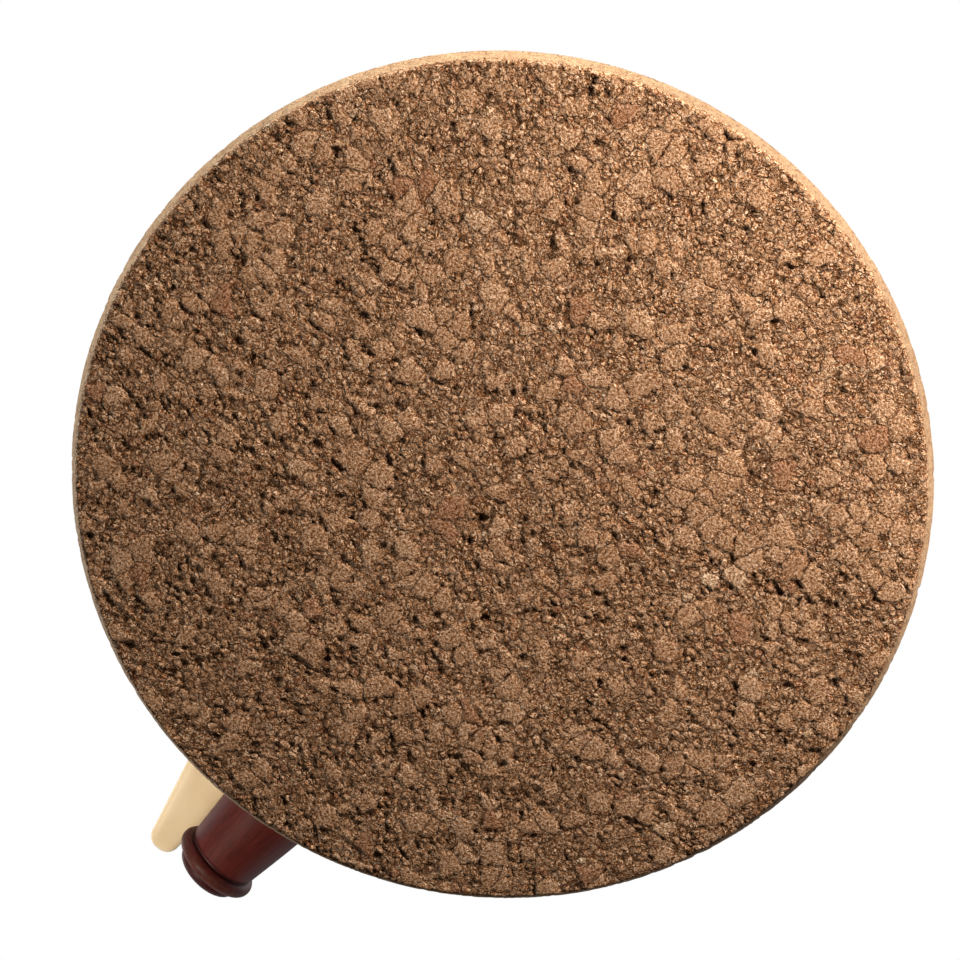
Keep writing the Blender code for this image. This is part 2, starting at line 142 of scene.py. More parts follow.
# Lever; its neck, paddle, thickness and taper are half sizes
LEVER_TIP_X = 142.2 * MM
LEVER_TIP_Y = 5.5 * MM
LEVER_TIP_RADIUS = 4.3 * MM
LEVER_RISE = 15 * MM
LEVER_NECK = 6.4 * MM
LEVER_NECK_NARROWS = 1.2 * MM
LEVER_PADDLE_WIDENS = 3.6 * MM
LEVER_THICK = 6.0 * MM
LEVER_THINS = 2.9 * MM
LEVER_TAPER_START = 92 * MM
LEVER_TAPER = 4.5 * MM
LEVER_TAPER_POWER = 1.9
LEVER_SQUARENESS = 0.45
CAM_RADIUS = 7.5 * MM
CAM_OFFSET = 0.5 * MM
CAM_HALF_HEIGHT = 7 * MM
SLOT_HALF = 3.5 * MM
SLOT_WEB = 6.6 * MM
PIN_HOLE = 2.3 * MM
CHEEK_ROUND = 0.7 * MM

# Bracket, remeshed to soften its corners
CASTING_VOXEL = 0.5 * MM

# Camera, from the middle of the cork's face
CAMERA_DISTANCE = 458.2 * MM
CAMERA_AZIMUTH = math.radians(159.0)
CAMERA_TILT = math.radians(12.1)
CAMERA_AIM = Vector((-0.75, 4.95, 0.0)) * MM
CAMERA_UP = math.radians(141.4)
CAMERA_VIEW = math.radians(27)
SENSOR_WIDTH = 36

# Spot under the ends of the grip and the lever
SPOT_PLACE = (0.24, 0.20, -0.34)
SPOT_TARGET = (0.136, 0.0, HINGE.z)
SPOT_VIEW = math.radians(16)

# Floor
FLOOR_HALF = 4.0
FLOOR_DROP = 0.2 * MM


class Graph:
    """Short ways to add nodes to a shader tree or a geometry tree."""

    def __init__(self, tree):
        self.tree = tree

    def feed(self, socket, value):
        if isinstance(value, bpy.types.NodeSocket):
            self.tree.links.new(value, socket)
        else:
            socket.default_value = value

    def node(self, kind, inputs=None, **settings):
        made = self.tree.nodes.new(kind)
        for key, value in settings.items():
            setattr(made, key, value)
        for socket, value in (inputs or {}).items():
            self.feed(made.inputs[socket], value)
        return made

    def math(self, operation, a, b=0.0):
        return self.node("ShaderNodeMath", {0: a, 1: b}, operation=operation).outputs[0]

    def add(self, a, b):
        return self.math("ADD", a, b)

    def subtract(self, a, b):
        return self.math("SUBTRACT", a, b)

    def times(self, a, b):
        return self.math("MULTIPLY", a, b)

    def total(self, *terms):
        made = terms[0]
        for term in terms[1:]:
            made = self.add(made, term)
        return made

    def shift(self, vector, offset):
        return self.node("ShaderNodeVectorMath", {0: vector, 1: offset}, operation="ADD").outputs[0]

    def stretch(self, vector, by):
        return self.node("ShaderNodeVectorMath", {0: vector, 1: by}, operation="MULTIPLY").outputs[0]

    def split(self, vector):
        return self.node("ShaderNodeSeparateXYZ", {0: vector}).outputs

    def join(self, x, y, z):
        return self.node("ShaderNodeCombineXYZ", {0: x, 1: y, 2: z}).outputs[0]

    def noise(self, vector, size, detail=2.0, roughness=0.5, colour=False):
        """Smooth noise from 0 to 1 whose largest features are about this size."""
        made = self.node(
            "ShaderNodeTexNoise",
            {"Vector": vector, "Scale": 1.0 / size, "Detail": detail, "Roughness": roughness},
        )
        return made.outputs["Color" if colour else 0]

    def cells(self, vector, size):
        """A random colour for each cell, and the cell's middle."""
        made = self.node("ShaderNodeTexVoronoi", {"Vector": vector, "Scale": 1.0 / size})
        return made.outputs["Color"], made.outputs["Position"]

    def seams(self, vector, size):
        """Distance to the nearest border between cells, in the vector's own units."""
        made = self.node(
            "ShaderNodeTexVoronoi",
            {"Vector": vector, "Scale": 1.0 / size},
            feature="DISTANCE_TO_EDGE",
        )
        return self.times(made.outputs["Distance"], size)

    def step(self, value, low, high, start=0.0, end=1.0):
        """Rises smoothly from start to end while value goes from low to high."""
        made = self.node(
            "ShaderNodeMapRange",
            {"Value": value, "From Min": low, "From Max": high, "To Min": start, "To Max": end},
            interpolation_type="SMOOTHSTEP",
        )
        return made.outputs[0]

    def mix(self, factor, a, b):
        return self.node("ShaderNodeMix", {0: factor, 2: a, 3: b}, data_type="FLOAT").outputs[0]

    def blend(self, factor, a, b, how="MIX"):
        """Mixes two colours."""
        made = self.node("ShaderNodeMix", {0: factor}, data_type="RGBA", blend_type=how)
        for index, value in ((6, a), (7, b)):
            linked = isinstance(value, bpy.types.NodeSocket)
            self.feed(made.inputs[index], value if linked else (*value, 1.0))
        return made.outputs[2]

    def ramp(self, value, *stops):
        """A colour ramp from (place, colour) stops."""
        made = self.node("ShaderNodeValToRGB", {0: value})
        elements = made.color_ramp.elements
        while len(elements) < len(stops):
            elements.new(0.5)
        for element, (place, colour) in zip(elements, stops):
            element.position = place
            element.color = (*colour, 1.0)
        return made.outputs[0]

    def lean(self, vector, middle, colour, slope):
        """Height of a flat facet about a cell's middle, tipped a random way of its own."""
        away = self.node("ShaderNodeVectorMath", {0: vector, 1: middle}, operation="SUBTRACT").outputs[0]
        way = self.stretch(self.shift(colour, (-0.5, -0.5, -0.5)), (2 * slope, 2 * slope, 0.0))
        made = self.node("ShaderNodeVectorMath", {0: away, 1: way}, operation="DOT_PRODUCT")
        return made.outputs["Value"]

    def grey(self, value):
        return self.node("ShaderNodeCombineColor", {0: value, 1: value, 2: value}).outputs[0]

    def bump(self, height, depth):
        """Bends the surface normal as if height, from 0 to 1, stood proud by depth."""
        made = self.node("ShaderNodeBump", {"Height": height, "Strength": 1.0, "Distance": depth})
        return made.outputs[0]


def new_material(
    name, metallic=0.0, coat=0.0, coat_roughness=0.1, specular=0.5, subsurface=0.0, anisotropic=0.0
):
    """A material, its graph, its shader and the object's own position in millimetres."""
    mat = bpy.data.materials.new(name)
    mat.use_nodes = True
    graph = Graph(mat.node_tree)
    shader = mat.node_tree.nodes["Principled BSDF"]
    shader.inputs["Metallic"].default_value = metallic
    shader.inputs["Coat Weight"].default_value = coat
    shader.inputs["Coat Roughness"].default_value = coat_roughness
    shader.inputs["Specular IOR Level"].default_value = specular
    shader.inputs["Subsurface Weight"].default_value = subsurface
    shader.inputs["Anisotropic"].default_value = anisotropic
    place = graph.node("ShaderNodeTexCoord").outputs["Object"]
    return mat, graph, shader, graph.stretch(place, (1 / MM,) * 3)


def finish_material(graph, shader, colour, roughness, normal):
    graph.feed(shader.inputs["Base Color"], colour)
    graph.feed(shader.inputs["Roughness"], roughness)
    graph.feed(shader.inputs["Normal"], normal)


# --------------------------------------------------------------------------------------------------
# Cork
# --------------------------------------------------------------------------------------------------


def cork_granules(graph, place):
    """The granules of pressed cork at a position in millimetres, for its shape and its colour alike."""
    sway = graph.shift(graph.noise(place, SWAY_SIZE, 3.0, 0.7, colour=True), (-0.5, -0.5, -0.5))
    bent = graph.shift(place, graph.stretch(sway, (SWAY, SWAY, SWAY)))
    big_colour, big_middle = graph.cells(bent, BIG_GRANULE)
    small_colour, small_middle = graph.cells(bent, SMALL_GRANULE)
    big_parts, small_parts = graph.split(big_colour), graph.split(small_colour)
    is_big = graph.step(big_parts[0], BIG_ABOVE, BIG_ABOVE + 0.02)
    edge = graph.mix(is_big, graph.seams(bent, SMALL_GRANULE), graph.seams(bent, BIG_GRANULE))
    gaping = graph.step(graph.noise(place, 4.2, 2.0, 0.6), 0.44, 0.58)
    frayed = graph.add(edge, graph.times(graph.subtract(graph.noise(place, 1.1, 2.0, 0.6), 0.5), 1.2))
    hollow = graph.add(graph.noise(bent, 4.4, 4.0, 0.62), graph.step(edge, 0.0, 1.0, 0.05, 0.0))
    fallen = graph.step(small_parts[0], FALLEN_BELOW - 0.015, FALLEN_BELOW, 1.0, 0.0)
    fallen = graph.times(fallen, graph.subtract(1.0, is_big))
    small_lean = graph.lean(bent, small_middle, small_colour, SMALL_SLOPE)
    big_lean = graph.lean(bent, big_middle, big_colour, BIG_SLOPE)
    return {
        "bent": bent,
        "big": is_big,
        "edge": edge,
        "inside": graph.step(edge, 0.02, 0.30),
        "gaping": gaping,
        "crevice": graph.times(gaping, graph.step(frayed, 0.0, 0.30, 1.0, 0.0)),
        "pit": graph.step(hollow, 0.690, 0.730),
        "tone": graph.mix(is_big, small_parts[1], big_parts[1]),
        "hue": graph.mix(is_big, small_parts[2], big_parts[2]),
        "level": graph.mix(is_big, small_parts[0], 0.9),
        "lean": graph.mix(is_big, small_lean, big_lean),
        "fallen": graph.times(fallen, graph.step(edge, 0.0, 0.45)),
    }


def cork_crumbs(graph, granule):
    """The crumbs within each granule: distance to a crumb's border, and how high its facet stands."""
    colour, middle = graph.cells(granule["bent"], CRUMB)
    edge = graph.seams(granule["bent"], CRUMB)
    facet = graph.lean(granule["bent"], middle, colour, CRUMB_SLOPE)
    return {"edge": edge, "height": graph.total(facet, graph.times(graph.split(colour)[0], 0.40))}


def cork_depth(graph, place):
    """How deep the pressed cork lies below its sanded surface, in millimetres."""
    granule = cork_granules(graph, place)
    crumbs = graph.step(graph.noise(place, 1.8, 3.0, 0.7), 0.32, 0.68, 0.0, CRUMB_DEPTH)
    level = graph.times(graph.subtract(1.0, granule["level"]), LEVEL_DEPTH)
    fallen = graph.times(granule["fallen"], FALLEN_DEPTH)
    border = graph.step(granule["edge"], 0.0, 0.6, BORDER_DEPTH, 0.0)
    crevice = graph.times(granule["crevice"], CREVICE_DEPTH)
    return graph.total(crumbs, level, fallen, border, crevice, graph.times(granule["pit"], PIT_DEPTH))


def hexagonal_disc(radius, rings, rng):
    """Points and triangles of a flat disc with even spacing: ring k holds 6k points."""
    points = [(0.0, 0.0, 0.0)]
    first = [0]
    for ring in range(1, rings + 1):
        first.append(len(points))
        count = 6 * ring
        angles = np.arange(count) * (math.tau / count)
        spread = radius * ring / rings
        block = np.stack([spread * np.cos(angles), spread * np.sin(angles), np.zeros(count)], 1)
        if ring < rings:
            block[:, :2] += rng.uniform(-LATTICE_JITTER, LATTICE_JITTER, (count, 2))
        points.extend(map(tuple, block))
    faces = []
    for ring in range(1, rings + 1):
        inner, outer = max(6 * (ring - 1), 1), 6 * ring
        for sector in range(6):
            for step in range(ring):
                a = first[ring] + (sector * ring + step) % outer
                b = first[ring] + (sector * ring + step + 1) % outer
                c = first[ring - 1] + (sector * (ring - 1) + step) % inner
                faces.append((a, c, b))
                if step < ring - 1:
                    d = first[ring - 1] + (sector * (ring - 1) + step + 1) % inner
                    faces.append((b, c, d))
    return points, faces, first[rings]


def cork_rim():
    """Radius and height of each ring: up the bevel and the side, and in under the board."""
    rim = []
    for step in range(1, BEVEL_RINGS + 1):
        share = step / BEVEL_RINGS
        rim.append((PAD_RADIUS - BEVEL_IN * (1 - share), BEVEL_UP * share))
    for step in range(1, SIDE_RINGS + 1):
        rim.append((PAD_RADIUS, BEVEL_UP + (PAD_TOP - TOP_ROUND - BEVEL_UP) * step / SIDE_RINGS))
    for angle in (0.5, 1.05):
        inset, drop = TOP_ROUND * (1 - math.cos(angle)), TOP_ROUND * (1 - math.sin(angle))
        rim.append((PAD_RADIUS - inset, PAD_TOP - drop))
    rim += [(PAD_RADIUS - TOP_ROUND, PAD_TOP), (PAD_RADIUS - UNDER_BOARD, PAD_TOP)]
    return rim


def displace_inwards(obj):
    """Presses the cork's relief into its surface: the face inwards, the bevel and side less."""
    tree = bpy.data.node_groups.new("cork_relief", "GeometryNodeTree")
    tree.interface.new_socket("Geometry", in_out="INPUT", socket_type="NodeSocketGeometry")
    tree.interface.new_socket("Geometry", in_out="OUTPUT", socket_type="NodeSocketGeometry")
    graph = Graph(tree)
    source = graph.node("NodeGroupInput")
    target = graph.node("NodeGroupOutput")
    position = graph.node("GeometryNodeInputPosition").outputs[0]
    normal = graph.node("GeometryNodeInputNormal").outputs[0]
    place = graph.stretch(position, (1 / MM,) * 3)
    height = graph.math("MAXIMUM", graph.split(place)[2], 0.0)
    share = graph.mix(graph.step(height, 0.3, 1.6), 1.0, EDGE_RELIEF)
    below_board = graph.step(height, PAD_TOP / MM - 1.6, PAD_TOP / MM - 0.2, 1.0, 0.0)
    depth = graph.times(graph.times(cork_depth(graph, place), share), below_board)
    offset = graph.stretch(normal, graph.join(*(graph.times(depth, -MM),) * 3))
    moved = graph.node("GeometryNodeSetPosition", {"Geometry": source.outputs[0], "Offset": offset})
    graph.feed(target.inputs[0], moved.outputs[0])
    modifier = obj.modifiers.new("relief", "NODES")
    modifier.node_group = tree
    apply_modifiers(obj)


def cork_material():
    """Colour and fine bump of the cork: its granules, painted shade in its seams and pits, and the pale cut
    bevel.
    """
    mat, graph, shader, place = new_material("pressed_cork", specular=0.07)
    granule = cork_granules(graph, place)
    crumb = cork_crumbs(graph, granule)
    grit = graph.noise(place, 0.6, 3.0, 0.85)
    loose = graph.mix(granule["big"], graph.step(granule["tone"], 0.20, 0.75, 0.36, 0.80), 0.48)
    x, y, z = graph.split(place)
    radius = graph.math("SQRT", graph.add(graph.times(x, x), graph.times(y, y)))
    ragged = graph.times(graph.subtract(graph.noise(place, 1.3, 3.0, 0.7), 0.5), 1.6)
    cut = graph.step(graph.add(radius, ragged), PAD_RADIUS / MM - 2.0, PAD_RADIUS / MM - 1.65)

    # Each granule's own tone and a few reddish or pale ones; then the grit's colour, partly the cork's own
    # speckle, partly painted shade in its hollows and in the loose granules' crumb seams and painted
    # highlight on its crests
    body = graph.ramp(
        granule["tone"],
        (0.0, (0.385, 0.220, 0.128)),
        (0.35, (0.408, 0.235, 0.138)),
        (0.75, (0.425, 0.248, 0.147)),
        (1.0, (0.440, 0.265, 0.162)),
    )
    reddish = graph.step(granule["hue"], REDDISH_ABOVE, REDDISH_ABOVE + 0.010)
    body = graph.blend(graph.times(reddish, 0.55), body, REDDISH_GRANULE)
    pale = graph.step(granule["hue"], 0.0, PALE_BELOW, 1.0, 0.0)
    body = graph.blend(graph.times(pale, 0.55), body, PALE_CHIP)
    broad = graph.noise(place, 15.0, 3.0, 0.6)
    body = graph.blend(1.0, body, graph.grey(graph.step(broad, 0.25, 0.75, 0.95, 1.05)), "MULTIPLY")
    crumb_seam_shade = graph.times(loose, graph.step(crumb["edge"], 0.0, 0.24, 1.0, 0.0))
    lit = graph.subtract(graph.step(grit, 0.25, 0.75), graph.times(crumb_seam_shade, 0.50))
    # Painted shade and highlight following the fine relief: hollows and crumb seams darker, crests paler
    # and whiter
    shade = graph.ramp(
        lit,
        (0.02, (0.25, 0.120, 0.050)),
        (0.28, (0.73, 0.65, 0.55)),
        (0.48, (1.00, 1.00, 1.00)),
        (0.86, (1.42, 1.74, 2.20)),
    )
    body = graph.blend(1.0, body, shade, "MULTIPLY")
    evened = graph.ramp(loose, (0.36, (0.89, 0.88, 0.87)), (0.80, (1.07, 1.10, 1.12)))
    body = graph.blend(1.0, body, evened, "MULTIPLY")

    # Painted shade in the seams between granules, in crevices, in pits and on the floors of fallen
    # granules, which the relief also presses in
    seam = graph.step(granule["edge"], 0.03, 0.25, 1.0, 0.0)
    seam = graph.times(seam, graph.step(grit, 0.36, 0.66, 1.0, 0.7))
    seam = graph.times(seam, graph.mix(granule["gaping"], 0.72, 1.0))
    dark = graph.math("MAXIMUM", graph.math("MAXIMUM", seam, granule["crevice"]), granule["pit"])
    dark = graph.math("MAXIMUM", dark, graph.times(granule["fallen"], 0.25))
    face = graph.blend(graph.times(dark, 0.88), body, CREVICE_SHADE_BROWN)

    # The pale bevel and the side above it, the face's colour made darker and greyer, with painted shade on
    # both toward the low key light
    rim = graph.ramp(
        graph.noise(place, 2.6, 4.0, 0.7),
        (0.30, (0.26, 0.155, 0.088)),
        (0.50, (0.31, 0.198, 0.118)),
        (0.70, (0.36, 0.243, 0.150)),
    )
    freckle = graph.step(graph.noise(place, 0.9, 3.0, 0.75), 0.53, 0.63)
    rim = graph.blend(graph.times(freckle, 0.7), rim, FRECKLE_BROWN)
    above_bevel = graph.step(graph.add(z, ragged), BEVEL_UP / MM + 0.2, BEVEL_UP / MM + 0.9)
    side = graph.blend(1.0, face, SIDE_DARKER_GREYER, "MULTIPLY")
    # Painted shade on the bevel and side toward the low key light, darkest facing it, to hold back its
    # glare
    key_side = math.radians(KEY_AZIMUTH)
    toward_key = graph.add(graph.times(x, math.cos(key_side)), graph.times(y, math.sin(key_side)))
    painted_key_side_shade = graph.step(toward_key, PAD_RADIUS / MM * 0.70, PAD_RADIUS / MM * 0.95, 1.0, PAINTED_SHADE_TOWARD_KEY)
    edge = graph.blend(1.0, graph.blend(above_bevel, rim, side), graph.grey(painted_key_side_shade), "MULTIPLY")
    colour = graph.blend(cut, face, edge)

    # Tilted plates, crumbs and grit
    plate = graph.total(0.26, graph.times(granule["level"], 0.30), graph.times(granule["lean"], 0.8))
    bits = graph.times(graph.times(crumb["height"], graph.step(crumb["edge"], 0.0, 0.22)), loose)
    fine = graph.step(grit, 0.27, 0.73, 0.0, 0.30)
    height = graph.total(graph.times(granule["inside"], plate), graph.times(bits, granule["inside"]), fine)
    height = graph.mix(graph.times(cut, graph.subtract(1.0, above_bevel)), height, graph.times(fine, 0.9))
    roughness = graph.step(grit, 0.3, 0.7, 0.95, 0.84)
    finish_material(graph, shader, colour, roughness, graph.bump(height, 1.0 * MM))
    return mat


def make_cork():
    """The disc: a fine lattice for its face and rings for its bevel and side, pressed in by the relief."""
    rng = np.random.default_rng(SEED)
    points, faces, last = hexagonal_disc(PAD_RADIUS - BEVEL_IN, FACE_RINGS, rng)
    around = 6 * FACE_RINGS
    for radius, height in cork_rim():
        start = len(points)
        for step in range(around):
            angle = math.tau * step / around
            points.append((radius * math.cos(angle), radius * math.sin(angle), height))
        for step in range(around):
            after = (step + 1) % around
            faces.append((last + step, start + step, start + after, last + after))
        last = start
    faces.append(tuple(last + step for step in range(around)))
    cork = add_mesh("cork_face_pad", points, faces, cork_material())
    displace_inwards(cork)
    return place_piece(cork, "pad", "cork", "cork_pad")


# --------------------------------------------------------------------------------------------------
# Helpers for meshes
# --------------------------------------------------------------------------------------------------


def add_mesh(name, points, faces, mat):
    mesh = bpy.data.meshes.new(name)
    mesh.from_pydata(points, [], faces)
    bm = bmesh.new()
    bm.from_mesh(mesh)
    bmesh.ops.recalc_face_normals(bm, faces=bm.faces)
    bm.to_mesh(mesh)
    bm.free()
    mesh.shade_smooth()
    mesh.materials.append(mat)
    obj = bpy.data.objects.new(name, mesh)
    bpy.context.scene.collection.objects.link(obj)
    return obj


def apply_modifiers(obj):
    """Replaces an object's mesh with its evaluated mesh."""
    bpy.context.view_layer.update()
    shown = obj.evaluated_get(bpy.context.evaluated_depsgraph_get())
    mesh = bpy.data.meshes.new_from_object(shown)
    obj.modifiers.clear()
    obj.data = mesh


def place_piece(obj, body, slot, *nodes):
    """Ties a piece to its body, in place of these CAD nodes; the slot argument is not used."""
    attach(obj, body)
    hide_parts(*nodes)
    return obj


def turned(name, profile, segments, mat, place=None):
    """A turned piece from (radius, height) points along its own Z axis."""
    points, faces, rings = [], [], []
    for radius, height in profile:
        count = segments if radius > 1e-9 else 1
        rings.append((len(points), count))
        for step in range(count):
            angle = math.tau * step / segments
            points.append((radius * math.cos(angle), radius * math.sin(angle), height))
    for (low, low_count), (high, high_count) in zip(rings, rings[1:]):
        for step in range(segments):
            after = (step + 1) % segments
            if low_count == 1:
                faces.append((low, high + after, high + step))
            elif high_count == 1:
                faces.append((low + step, low + after, high))
            else:
                faces.append((low + step, low + after, high + after, high + step))
    obj = add_mesh(name, points, faces, mat)
    obj.data.set_sharp_from_angle(angle=math.radians(35))
    obj.matrix_world = place or Matrix.Identity(4)
    return obj


def smooth_step(value):
    """Eases from 0 to 1, and stays there outside that range."""
    value = min(max(value, 0.0), 1.0)
    return value * value * (3 - 2 * value)


def soften_edges(node, width):
    """Breaks the sharp edges of a CAD node."""
    bevel = frame["nodes"][node].modifiers.new("broken_edges", "BEVEL")
    bevel.width = width
    bevel.segments = 2
    bevel.limit_method = "ANGLE"
    bevel.angle_limit = math.radians(38)
    bevel.harden_normals = False
    bevel.use_clamp_overlap = True


def give_material(node, mat):
    for material_slot in frame["nodes"][node].material_slots:
        material_slot.link = "OBJECT"
        material_slot.material = mat


# --------------------------------------------------------------------------------------------------
# Other materials
# --------------------------------------------------------------------------------------------------


def plywood_material():
    """Birch plywood: straight grain on the faces, crossed plies with glue lines round the edge."""
    mat, graph, shader, place = new_material(
        "birch_plywood_board", specular=0.35, coat=0.12, coat_roughness=0.35
    )
    x, y, z = graph.split(place)
    sway = graph.noise(graph.stretch(place, (0.012, 0.05, 0.05)), 1.0, 2.0)
    across = graph.add(y, graph.times(graph.subtract(sway, 0.5), 22.0))
    lines = graph.noise(graph.join(graph.times(x, 0.02), graph.times(across, 0.9), z), 1.6, 4.0, 0.65)
    broad = graph.noise(graph.join(graph.times(x, 0.008), graph.times(across, 0.11), 0.0), 1.0, 3.0, 0.55)
    pores = graph.noise(graph.join(graph.times(x, 0.28), graph.times(y, 3.4), 0.0), 1.0, 2.0, 0.7)
    face = graph.ramp(
        graph.add(graph.times(lines, 0.55), graph.times(broad, 0.5)),
        (0.30, (0.42, 0.262, 0.132)),
        (0.50, (0.565, 0.385, 0.215)),
        (0.72, (0.66, 0.475, 0.285)),
    )
    face = graph.blend(graph.step(pores, 0.60, 0.72, 0.0, 0.5), face, (0.33, 0.19, 0.09))

    layer = graph.times(graph.subtract(z, BOARD_LOW.z / MM), PLIES * MM / (BOARD_HIGH.z - BOARD_LOW.z))
    crossed = graph.math("GREATER_THAN", graph.math("MODULO", layer, 2.0), 1.0)
    along = graph.noise(graph.stretch(place, (0.25, 0.25, 5.0)), 1.0, 3.0, 0.6)
    ends = graph.noise(place, 0.5, 3.0, 0.7)
    long_ply = graph.ramp(along, (0.3, (0.50, 0.33, 0.175)), (0.7, (0.64, 0.455, 0.27)))
    end_ply = graph.ramp(ends, (0.3, (0.25, 0.145, 0.07)), (0.7, (0.42, 0.27, 0.145)))
    edge = graph.blend(crossed, long_ply, end_ply)
    glue = graph.step(graph.math("PINGPONG", layer, 0.5), 0.02, 0.10, 0.75, 0.0)
    edge = graph.blend(glue, edge, (0.13, 0.06, 0.03))
    normal = graph.split(graph.node("ShaderNodeNewGeometry").outputs["True Normal"])
    sideways = graph.step(graph.math("ABSOLUTE", normal[2]), 0.35, 0.75, 1.0, 0.0)
    below_top = graph.step(z, BOARD_HIGH.z / MM - 0.9, BOARD_HIGH.z / MM - 0.5, 1.0, 0.0)
    on_edge = graph.times(sideways, below_top)
    colour = graph.blend(on_edge, face, edge)
    dust = graph.step(graph.noise(place, 21.0, 4.0, 0.6), 0.52, 0.80, 0.0, 0.25)
    colour = graph.blend(dust, colour, (0.60, 0.45, 0.31))
    roughness = graph.add(0.42, graph.times(lines, 0.28))
    height = graph.add(graph.times(lines, 0.5), graph.times(pores, -0.5))
    finish_material(graph, shader, colour, roughness, graph.bump(height, 0.12 * MM))
    return mat


def metal_material(name, colour, worn, roughness, grain, depth, turned_about=None, anisotropic=0.0):
    """A metal with patchy tarnish, fine scratches or turning marks, and brighter worn edges."""
    mat, graph, shader, place = new_material(name, metallic=1.0, anisotropic=anisotropic)
    patches = graph.noise(place, 9.0, 4.0, 0.6)
    fine = graph.noise(place, grain, 3.0, 0.65)
    if turned_about is None:
        marks = graph.noise(graph.stretch(place, (0.6, 5.0, 0.6)), 1.0, 3.0, 0.7)
    else:
        along = graph.split(place)["XYZ".index(turned_about)]
        rings = graph.join(graph.times(along, 4.5), graph.times(patches, 0.6), 0.0)
        marks = graph.noise(rings, 1.0, 3.0, 0.7)
    edges = graph.node("ShaderNodeNewGeometry").outputs["Pointiness"]
    rubbed = graph.times(graph.step(edges, 0.515, 0.56), graph.step(fine, 0.3, 0.6, 0.35, 1.0))
    base = graph.blend(graph.step(patches, 0.38, 0.72), colour, [part * 0.80 for part in colour])
    base = graph.blend(graph.step(marks, 0.62, 0.76, 0.0, 0.35), base, [part * 0.6 for part in colour])
    base = graph.blend(rubbed, base, worn)
    uneven = graph.total(roughness - 0.10, graph.times(patches, 0.14), graph.times(marks, 0.10))
    height = graph.add(graph.times(fine, 0.6), graph.times(marks, 0.4))
    finish_material(graph, shader, base, uneven, graph.bump(height, depth))
    return mat


def soft_black_material(name, colour, pale, grain, depth, roughness):
    """Rubber or pressed fibre: nearly black, with dust in its grain."""
    mat, graph, shader, place = new_material(name, specular=0.35)
    fine = graph.noise(place, grain, 4.0, 0.7)
    patches = graph.noise(place, 6.0, 3.0, 0.6)
    tone = graph.add(graph.times(fine, 0.6), graph.times(patches, 0.4))
    base = graph.ramp(tone, (0.35, colour), (0.75, pale))
    uneven = graph.add(roughness, graph.times(fine, 0.15))
    finish_material(graph, shader, base, uneven, graph.bump(fine, depth))
    return mat


def lacquer_material():
    """Maroon lacquer over turned wood: faint grain under a soft gloss, rubbed thin on the bead."""
    mat, graph, shader, place = new_material(
        "maroon_lacquer_finish", coat=0.05, coat_roughness=0.36, specular=0.13
    )
    x, y, z = graph.split(place)
    strands = graph.noise(graph.stretch(place, (1.3, 1.3, 0.05)), 1.0, 4.0, 0.65)
    patches = graph.noise(place, 12.0, 3.0, 0.55)
    rings = graph.noise(graph.join(graph.times(z, 1.6), 0.0, 0.0), 1.0, 3.0, 0.6)
    base = graph.ramp(
        graph.add(graph.times(strands, 0.7), graph.times(patches, 0.3)),
        (0.30, (0.040, 0.0065, 0.0050)),
        (0.52, (0.082, 0.0120, 0.0092)),
        (0.75, (0.118, 0.0200, 0.0150)),
    )
    radius = graph.math("SQRT", graph.add(graph.times(x, x), graph.times(y, y)))
    crown = graph.step(radius, BEAD_RADIUS / MM - 0.45, BEAD_RADIUS / MM - 0.08)
    crown = graph.times(crown, graph.step(z, BEAD_AT / MM - 2.4, BEAD_AT / MM - 1.9))
    thin = graph.times(crown, graph.step(graph.noise(place, 1.6, 4.0, 0.7), 0.42, 0.62))
    base = graph.blend(graph.times(crown, 0.45), base, (0.045, 0.016, 0.010))
    base = graph.blend(graph.times(thin, 0.45), base, (0.10, 0.045, 0.027))
    # Painted shade in the groove at the bead's foot
    past_bead = graph.step(z, BEAD_AT / MM - 3.6, BEAD_AT / MM - 2.2)
    groove = graph.step(radius, BEAD_FOOT_RADIUS / MM, BEAD_FOOT_RADIUS / MM + 0.6, 1.0, 0.0)
    groove = graph.times(past_bead, groove)
    base = graph.blend(graph.times(groove, 0.6), base, (0.016, 0.006, 0.005))
    nicks = graph.step(graph.noise(place, 3.1, 5.0, 0.75), 0.68, 0.74)
    base = graph.blend(graph.times(nicks, 0.35), base, (0.20, 0.085, 0.055))
    roughness = graph.total(0.43, graph.times(patches, 0.12), graph.times(strands, 0.10))
    height = graph.total(graph.times(strands, 0.5), graph.times(rings, 0.4), graph.times(nicks, -0.5))
    finish_material(graph, shader, base, roughness, graph.bump(height, 0.07 * MM))
    return mat


def cream_material():
    """Cream moulded plastic, slightly yellowed, with grime rubbed into it and a finely pebbled skin."""
    mat, graph, shader, place = new_material(
        "cream_plastic_moulding", specular=0.45, subsurface=0.06, coat=0.1, coat_roughness=0.3
    )
    shader.inputs["Subsurface Radius"].default_value = (0.004, 0.0025, 0.0012)
    shader.inputs["Subsurface Scale"].default_value = 0.4
    clouds = graph.noise(place, 16.0, 4.0, 0.55)
    skin = graph.noise(place, 0.8, 2.0, 0.6)
    base = graph.ramp(
        clouds,
        (0.28, (0.74, 0.545, 0.315)),
        (0.52, (0.82, 0.640, 0.395)),
        (0.78, (0.87, 0.710, 0.470)),
    )
    grime = graph.step(graph.noise(place, 4.5, 5.0, 0.7), 0.58, 0.76, 0.0, 0.22)
    base = graph.blend(grime, base, (0.42, 0.26, 0.13))
    roughness = graph.total(0.34, graph.times(clouds, 0.14), graph.times(skin, 0.06))
    height = graph.add(graph.times(skin, 0.5), graph.times(clouds, 0.5))
    finish_material(graph, shader, base, roughness, graph.bump(height, 0.05 * MM))
    return mat


# --------------------------------------------------------------------------------------------------
# Pieces that replace plain CAD solids
# --------------------------------------------------------------------------------------------------


